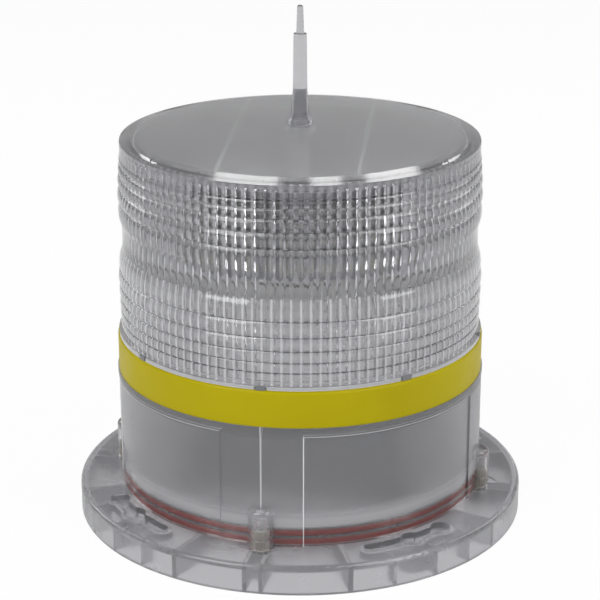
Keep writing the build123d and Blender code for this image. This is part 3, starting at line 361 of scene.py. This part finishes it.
def turned_metal(name, colour, second_colour, roughness):
    """Machined or plated metal: fine tool marks and a slightly clouded shine."""
    material = new_material(name)
    colours = add(material, "Mix", {"Factor": clouded(material, 8 * MM, 0.0, 1.0),
                                    "A": linear(colour), "B": linear(second_colour)}, **COLOURS)
    surface = add(material, "BsdfPrincipled", {
        "Base Color": colours, "Metallic": 1.0,
        "Roughness": clouded(material, 3 * MM, roughness * 0.7, roughness * 1.3),
        "Normal": grain(material, 0.4 * MM, 0.008 * MM, 4.0)})
    add(material, "OutputMaterial", {"Surface": surface})
    return material


def solar_cell():
    """Silicon strips under satin resin: an even grey with hardly a cloud in it."""
    material = new_material("solar_cell_silicon")
    colours = add(material, "Mix", {"Factor": clouded(material, 30 * MM, 0.0, 1.0),
                                    "A": linear("#515255"), "B": linear("#595a5d")}, **COLOURS)
    surface = add(material, "BsdfPrincipled", {
        "Base Color": colours, "IOR": RESIN_IOR, "Roughness": clouded(material, 10 * MM, 0.3, 0.38)})
    add(material, "OutputMaterial", {"Surface": surface})
    return material


finishes = {
    # Clear ribbed moulding that breaks what is behind it into small grey and white cells, with painted
    # highlights on its flute crests and painted shade in its troughs and grooves.
    "clear_polycarbonate": lens_polycarbonate(),
    # Etched wall through which the battery is only a soft dark shape.
    "frosted_polycarbonate": frosted_polycarbonate(),
    # Acid yellow ring with a dull, even skin.
    "yellow_abs": moulded_plastic("yellow_abs", "#b2a403", "#ac9e02", 0.4, shine=0.1),
    # Brick-red seals with the soft shine of silicone.
    "red_silicone": moulded_plastic("red_silicone", "#93281d", "#85241a", 0.38, 0.4 * MM),
    # Matt black gaskets and button cap.
    "black_rubber": moulded_plastic("black_rubber", "#1c1c1d", "#242425", 0.6),
    # Dark battery tray and fittings, a shade greyer than the rubber.
    "black_plastic": moulded_plastic("black_glass_filled_nylon", "#1d1e20", "#27282a", 0.5),
    # Mid-grey keys and clamp.
    "grey_plastic": moulded_plastic("grey_abs", "#6c6d70", "#75767a", 0.45),
    # Off-white deck and mast that light up the lens from inside.
    "white_plastic": moulded_plastic("white_abs", "#dcdcd8", "#e0e0dc", 0.42),
    # Glossy slate-blue shrink sleeve, stretched smooth over the cells.
    "cell_sleeve": moulded_plastic("cell_sleeve", "#3c4a5e", "#44536a", 0.25, 2 * MM, 0.01 * MM),
    # Pale boards under the emitters and the solar cells, which show as light lines between them.
    "panel_laminate": moulded_plastic("pale_glass_laminate", "#cfcfcd", "#c8c8c6", 0.5),
    # Deep green circuit board with a semi-gloss mask.
    "circuit_board": moulded_plastic("green_solder_mask", "#14532c", "#185c31", 0.32),
    # Charcoal core, dry and dull.
    "ferrite": moulded_plastic("pressed_ferrite", "#3a3a3d", "#444447", 0.6),
    # Shiny cream domes of the emitters.
    "led_resin": moulded_plastic("emitter_resin", "#d8d6c0", "#e0dfcf", 0.2),
    # Grey, evenly lit disc seen through the cover.
    "solar_cell": solar_cell(),
    # Bright screws and nuts.
    "stainless_steel": turned_metal("stainless_steel", "#b9b8b4", "#a9a8a4", 0.28),
    # Pale, slightly tarnished inserts, pins and spacers.
    "brass": turned_metal("turned_brass", "#c4bda0", "#b3aa88", 0.35),
    # Warm grey contacts, a little brighter than the screws.
    "nickel_contact": turned_metal("nickel_plated_spring_steel", "#c4c2bc", "#b2b0aa", 0.3),
    # Cool grey hub that carries the emitters.
    "aluminium": turned_metal("machined_aluminium", "#a9aaac", "#9a9c9e", 0.33),
}
own_finishes = {
    # Thick smoky flange whose ribs show as soft pale bars.
    "base_flange": clear_polycarbonate("flange_clear_polycarbonate", "#bcbcbf", 0.22, 10 * MM, 0.004 * MM,
                                       haze=0.2),
    # Smooth clear dome with a bright polished edge.
    "top_cover": cover_polycarbonate(),
    # Glassy needle, grey where it is thick.
    "bird_spike": clear_polycarbonate("spike_clear_polycarbonate", "#bfbfc2", 0.06, 3 * MM, 0.01 * MM,
                                      haze=0.12),
}


def finish_solids():
    """Gives each solid of the frame its finish."""
    for subpart in frame["record"]["subparts"]:
        mesh = nodes[subpart["node"]].data
        finish = own_finishes.get(subpart["node"], finishes[subpart["material_slot"]])
        if not mesh.materials:
            mesh.materials.append(finish)
        for index in range(len(mesh.materials)):
            mesh.materials[index] = finish


def fresh():
    """Leaves edit mode with nothing selected, ready for the next primitive."""
    if bpy.context.object and bpy.context.object.mode == "EDIT":
        bpy.ops.object.mode_set(mode="OBJECT")
    bpy.ops.object.select_all(action="DESELECT")


def choose(wanted):
    """In edit mode, selects only the points for which wanted(height, radius, angle) is true."""
    bpy.ops.mesh.select_mode(type="VERT")
    bpy.ops.mesh.select_all(action="DESELECT")
    mesh = bpy.context.object.data
    shape = bmesh.from_edit_mesh(mesh)
    for point in shape.verts:
        x, y, z = point.co
        point.select = wanted(z, hypot(x, y), atan2(y, x) % tau)
    shape.select_flush_mode()
    bmesh.update_edit_mesh(mesh)


def drawn_profile(points):
    """Starts a piece as one point in the XZ plane and draws its closed outline by extruding."""
    fresh()
    bpy.ops.mesh.primitive_plane_add(size=1 * MM, location=(points[0][0], 0, points[0][1]))
    bpy.ops.object.transform_apply(location=True, rotation=True, scale=True)
    bpy.ops.object.mode_set(mode="EDIT")
    bpy.ops.mesh.select_all(action="SELECT")
    bpy.ops.mesh.merge(type="CENTER")
    for before, after in zip(points, points[1:]):
        step = (after[0] - before[0], 0, after[1] - before[1])
        bpy.ops.mesh.extrude_region_move(TRANSFORM_OT_translate={"value": step})
    ends = (points[0], points[-1])
    choose(lambda height, radius, angle: any(hypot(radius - end[0], height - end[1]) < TOUCH for end in ends))
    bpy.ops.mesh.edge_face_add()
    return bpy.context.object


def spun(piece, name, steps, angle=tau):
    """Turns the outline in edit mode round the lantern's axis, as a closed ring or a sector of one."""
    piece.name = piece.data.name = name
    bpy.ops.mesh.select_all(action="SELECT")
    bpy.ops.mesh.spin(steps=steps, angle=angle, center=(0, 0, 0), axis=(0, 0, 1))


def closed():
    """Merges doubled points and turns every face outwards."""
    bpy.ops.mesh.select_all(action="SELECT")
    bpy.ops.mesh.remove_doubles(threshold=MERGE_DISTANCE)
    bpy.ops.mesh.normals_make_consistent(inside=False)


def finished(piece, body, slot, node, smooth_angle):
    """Leaves edit mode, gives the piece its shading, finish and body, and hides the node it stands for."""
    bpy.ops.object.mode_set(mode="OBJECT")
    bpy.ops.object.shade_smooth_by_angle(angle=radians(smooth_angle))
    piece.data.materials.clear()
    piece.data.materials.append(finishes[slot])
    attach(piece, body)
    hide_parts(node)


def rib_outline(ribs, way, root):
    """Points along ribs that bulge from a wall whose radius at a height is root(height).

    The ribs go up (way 1) or down (way -1) from the belt, with a groove between each two."""
    points = []
    radius, height = BELT_RADIUS, BELT_TOP if way > 0 else BELT_BOTTOM
    for width, bulge in ribs:
        end_height = height + way * width
        end_radius = root(end_height)
        for step in range(1, RIB_STEPS):
            share = step / RIB_STEPS
            swell = 4 * bulge * share * (1 - share)
            points.append((radius + (end_radius - radius) * share + swell, height + way * width * share))
        points.append((end_radius, end_height - way * GROOVE_HALF_WIDTH))
        points.append((end_radius - GROOVE_DEPTH, end_height))
        points.append((end_radius, end_height + way * GROOVE_HALF_WIDTH))
        radius, height = end_radius, end_height
    return points[:-2]


def lens_outline():
    """The lens drum's section in metres, from the inner foot round the outside and back down inside."""
    def upper_root(height):
        share = (height - BELT_TOP) / (RIB_HEAD - BELT_TOP)
        return SHOULDER_RADIUS + (HEAD_RADIUS - SHOULDER_RADIUS) * share

    lower = rib_outline(LOWER_RIBS, -1, lambda height: BASE_RADIUS)
    upper = rib_outline(UPPER_RIBS, 1, upper_root)
    foot = [(INNER_RADIUS, LENS_BOTTOM), (LIP_RADIUS, LENS_BOTTOM), (LIP_RADIUS, LIP_TOP),
            (BASE_RADIUS, LIP_TOP)]
    belt = [(BELT_RADIUS, BELT_BOTTOM), (BELT_RADIUS, BELT_TOP)]
    rim = [(RIM_RADIUS, RIB_HEAD + RIM_STEP), (RIM_RADIUS, LENS_TOP), (INNER_RADIUS, LENS_TOP)]
    inside = [(INNER_RADIUS, FLUTE_HEAD), (INNER_RADIUS, FLUTE_HEAD - FLUTE_END),
              (INNER_RADIUS, FLUTE_FOOT + FLUTE_END), (INNER_RADIUS, FLUTE_FOOT)]
    outline = foot + lower[::-1] + belt + upper + rim + inside
    return [(radius * MM, height * MM) for radius, height in outline]


def lens():
    """The drum lens: ribbed bands above and below a plain belt outside, rounded flutes inside.

    One sector between two keys is shaped and then repeated round the axis."""
    piece = drawn_profile(lens_outline())
    sector = tau / KEY_COUNT
    spun(piece, "ribbed_lens_drum", FLUTE_COUNT // KEY_COUNT * FLUTE_STEPS, sector)
    flute = tau / FLUTE_COUNT
    for phase in range(FLUTE_STEPS // 2 + 1):
        share = 2 * phase / FLUTE_STEPS

        def on_flute(height, radius, angle):
            inside = radius < (INNER_RADIUS + 0.05) * MM
            fluted = (FLUTE_FOOT + 0.1) * MM < height < (FLUTE_HEAD - 0.1) * MM
            crest = round(angle / flute)
            away = abs(angle / flute - crest) * 2
            if crest % (FLUTE_COUNT // WIDE_FLUTE_COUNT) == 0:
                away = max(away, WIDE_FLUTE_RISE)
            return inside and fluted and abs(away - share) < 0.5 / FLUTE_STEPS
        choose(on_flute)
        swell = 1 + FLUTE_DEPTH * (1 - cos(pi * share ** CREST_SHARPNESS)) / 2 / INNER_RADIUS
        bpy.ops.transform.resize(value=(swell, swell, 1), center_override=(0, 0, 0))
    half_notch = KEY_NOTCH_WIDTH / 2 / LIP_RADIUS

    def in_notch(height, radius, angle):
        from_key = abs((angle + sector / 2) % sector - sector / 2)
        return radius > (LIP_RADIUS - 0.1) * MM and height < (LIP_TOP + 1) * MM and from_key < half_notch
    choose(in_notch)
    notch = (BASE_RADIUS + 0.1) / LIP_RADIUS
    bpy.ops.transform.resize(value=(notch, notch, 1), center_override=(0, 0, 0))
    bpy.ops.mesh.select_all(action="SELECT")
    bpy.ops.mesh.spin(steps=KEY_COUNT - 1, angle=tau - sector, center=(0, 0, 0), axis=(0, 0, 1), dupli=True)
    closed()
    finished(piece, "head", "clear_polycarbonate", "lens_drum", 32)


def seals():
    """The two red rings as they are squeezed in their grooves, flattened against the housing's bore."""
    middle = (SEAL_INNER + SEAL_OUTER) / 2 * MM
    for node in ("lower_o_ring", "upper_o_ring"):
        low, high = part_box(node)
        fresh()
        bpy.ops.mesh.primitive_plane_add(size=1, location=(middle, 0, (low[2] + high[2]) / 2),
                                         rotation=(pi / 2, 0, 0))
        ring = bpy.context.object
        ring.scale = ((SEAL_OUTER - SEAL_INNER) * MM, SEAL_HEIGHT * MM, 1)
        bpy.ops.object.transform_apply(location=True, rotation=True, scale=True)
        bpy.ops.object.mode_set(mode="EDIT")
        bpy.ops.mesh.select_all(action="SELECT")
        bpy.ops.mesh.bevel(offset=SEAL_CORNER * MM, segments=SEAL_CORNER_STEPS, affect="VERTICES")
        bpy.ops.mesh.delete(type="ONLY_FACE")
        spun(ring, node.replace("o_ring", "squeezed_ring"), SEAL_STEPS)
        closed()
        finished(ring, "base", "red_silicone", node, 60)


def screw_insert():
    """One knurled brass insert: two toothed bands, a waist between them and a plain bore."""
    chamfered = INSERT_RADIUS - INSERT_CHAMFER
    waist = INSERT_RADIUS - WAIST_DEPTH
    # Radius and height above the foot along the insert's outside, and then back into its bore.
    outline = ((chamfered, 0.0), (INSERT_RADIUS, 0.5), (INSERT_RADIUS, 4.2), (waist, 4.6), (waist, 5.4),
               (INSERT_RADIUS, 5.8), (INSERT_RADIUS, 9.5), (chamfered, 10.0), (INSERT_BORE, 10.0),
               (INSERT_BORE, 0.0))
    fresh()
    bpy.ops.mesh.primitive_circle_add(vertices=2 * KNURL_TEETH, radius=INSERT_BORE * MM, fill_type="NOTHING",
                                      location=(0, 0, INSERT_FOOT * MM))
    bpy.ops.object.transform_apply(location=True, rotation=True, scale=True)
    piece = bpy.context.object
    bpy.ops.object.mode_set(mode="EDIT")
    bpy.ops.mesh.select_all(action="SELECT")
    radius, level = INSERT_BORE, 0.0
    for next_radius, next_level in outline:
        bpy.ops.mesh.extrude_region_move(
            TRANSFORM_OT_translate={"value": (0, 0, (next_level - level) * MM)})
        swell = next_radius / radius
        bpy.ops.transform.resize(value=(swell, swell, 1),
                                 center_override=(0, 0, (INSERT_FOOT + next_level) * MM))
        radius, level = next_radius, next_level
    bpy.ops.mesh.select_all(action="SELECT")
    bpy.ops.mesh.remove_doubles(threshold=0.01 * MM)
    tooth = tau / (2 * KNURL_TEETH)
    band_radius = (INSERT_RADIUS - 0.05) * MM
    choose(lambda height, radius, angle: radius > band_radius and round(angle / tooth) % 2 == 1)
    swell = 1 - KNURL_DEPTH / INSERT_RADIUS
    bpy.ops.transform.resize(value=(swell, swell, 1), center_override=(0, 0, 0))
    bpy.ops.mesh.select_all(action="SELECT")
    bpy.ops.mesh.normals_make_consistent(inside=False)
    bpy.ops.object.mode_set(mode="OBJECT")
    return piece


def screw_inserts():
    """The four inserts, one in each boss, joined as the node is."""
    first = screw_insert()
    copies = []
    for index in range(INSERT_COUNT):
        copy = bpy.data.objects.new("knurled_insert", first.data.copy())
        bpy.context.scene.collection.objects.link(copy)
        turn = index * tau / INSERT_COUNT
        copy.location = (INSERT_PLACE_RADIUS * MM * cos(turn), INSERT_PLACE_RADIUS * MM * sin(turn), 0)
        copies.append(copy)
    bpy.data.objects.remove(first)
    fresh()
    for copy in copies:
        copy.select_set(True)
    bpy.context.view_layer.objects.active = copies[0]
    bpy.ops.object.join()
    bpy.ops.object.transform_apply(location=True, rotation=True, scale=True)
    piece = bpy.context.object
    piece.name = piece.data.name = "knurled_inserts"
    bpy.ops.object.mode_set(mode="EDIT")
    finished(piece, "head", "brass", "screw_inserts", 25)


def coil_spring():
    """The button's spring, copied from its node with its doubled points merged, on the base."""
    fresh()
    coil = bpy.data.objects.new("coil_spring", nodes["button_spring"].data.copy())
    bpy.context.scene.collection.objects.link(coil)
    coil.select_set(True)
    bpy.context.view_layer.objects.active = coil
    bpy.ops.object.mode_set(mode="EDIT")
    bpy.ops.mesh.select_all(action="SELECT")
    bpy.ops.mesh.remove_doubles(threshold=TOUCH)
    finished(coil, "base", "stainless_steel", "button_spring", 40)
    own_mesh(coil)


def studio_floor():
    """A broad pale floor that shows white to the eye and keeps the object's soft shadow."""
    fresh()
    bpy.ops.mesh.primitive_plane_add(size=FLOOR_SIZE, location=(0, 0, -FLOOR_DROP))
    floor = bpy.context.object
    floor.name = "floor"
    material = new_material("pale_floor")
    paint = add(material, "BsdfDiffuse", {"Color": linear("#f4f4f4")})
    glow = add(material, "Emission", {"Color": linear("#ffffff"), "Strength": 1.0})
    path = add(material, "LightPath")
    seen = add(material, "Math", {0: path.outputs["Is Camera Ray"], 1: path.outputs["Is Transmission Ray"]},
               operation="MAXIMUM")
    share = add(material, "Math", {0: seen, 1: FLOOR_GLOW}, operation="MULTIPLY")
    both = add(material, "MixShader", {0: share, 1: paint, 2: glow})
    add(material, "OutputMaterial", {"Surface": both})
    floor.data.materials.append(material)


def studio_world():
    """A room with pale end walls, darker side walls and ceiling, white where the eye meets it directly."""
    world = bpy.data.worlds.new("studio")
    bpy.context.scene.world = world
    world.use_nodes = True
    world.node_tree.nodes.clear()
    path = add(world, "LightPath")
    way = add(world, "TexCoord").outputs["Generated"]
    apart = add(world, "SeparateXYZ", {"Vector": way})
    level = add(world, "MapRange", {"Value": apart.outputs["Z"], "From Max": 0.6,
                                    "To Min": HORIZON_LEVEL, "To Max": CEILING_LEVEL}, **SOFT)
    aside = add(world, "VectorMath", {0: way, 1: (cos(VIEW_TURN), sin(VIEW_TURN), 0)},
                operation="DOT_PRODUCT")
    aside = add(world, "Math", {0: aside}, operation="ABSOLUTE")
    walls = add(world, "MapRange", {"Value": aside, "From Min": 0.35, "From Max": 0.95,
                                    "To Min": 1.0, "To Max": SIDE_WALL_SHARE}, **SOFT)
    strength = add(world, "Math", {0: level, 1: walls}, operation="MULTIPLY")
    room = add(world, "Background", {"Color": linear("#ffffff"), "Strength": strength})
    white = add(world, "Background", {"Color": linear("#ffffff"), "Strength": 1.0})
    both = add(world, "MixShader", {0: path.outputs["Is Camera Ray"], 1: room, 2: white})
    add(world, "OutputWorld", {"Surface": both})


def softbox(name, azimuth, elevation, distance, width, height, watts):
    """A rectangular lamp on a circle round the object, aimed at its middle."""
    flat = cos(radians(elevation))
    way = Vector((sin(radians(azimuth)) * flat, -cos(radians(azimuth)) * flat, sin(radians(elevation))))
    lamp = bpy.data.lights.new(name, "AREA")
    lamp.shape = "RECTANGLE"
    lamp.size = width
    lamp.size_y = height
    lamp.energy = watts
    holder = bpy.data.objects.new(name, lamp)
    bpy.context.scene.collection.objects.link(holder)
    holder.location = LAMP_AIM + way * distance
    holder.rotation_euler = way.to_track_quat("Z", "Y").to_euler()


def lamps():
    """Two large softboxes in front, two dim fills behind and three strips that streak the cover's edge."""
    softbox("left_softbox", azimuth=-34, elevation=38, distance=1.6, width=0.8, height=1.5, watts=17)
    softbox("right_softbox", azimuth=74, elevation=38, distance=1.6, width=0.7, height=1.5, watts=14)
    softbox("rear_left_fill", azimuth=248, elevation=32, distance=1.9, width=0.8, height=1.2, watts=8)
    softbox("rear_right_fill", azimuth=136, elevation=32, distance=1.9, width=0.8, height=1.2, watts=7)
    softbox("rear_left_strip", azimuth=199, elevation=46, distance=1.7, width=0.18, height=0.55, watts=1.2)
    softbox("rear_right_strip", azimuth=188, elevation=48, distance=1.7, width=0.09, height=0.5, watts=0.55)
    softbox("rear_side_strip", azimuth=180, elevation=43, distance=1.7, width=0.12, height=0.5, watts=0.8)


def camera():
    """The photograph's view: from above on the front, a little to the right of the front boss."""
    view = bpy.data.cameras.new("view")
    view.lens = LENS_LENGTH
    view.sensor_width = FILM_WIDTH
    holder = bpy.data.objects.new("view", view)
    bpy.context.scene.collection.objects.link(holder)
    holder.location = VIEW_PLACE
    holder.rotation_euler = (VIEW_TILT, 0, VIEW_TURN)
    bpy.context.scene.camera = holder


finish_solids()
lens()
seals()
screw_inserts()
coil_spring()
studio_floor()
studio_world()
lamps()
camera()
bpy.context.scene.view_settings.view_transform = "Standard"
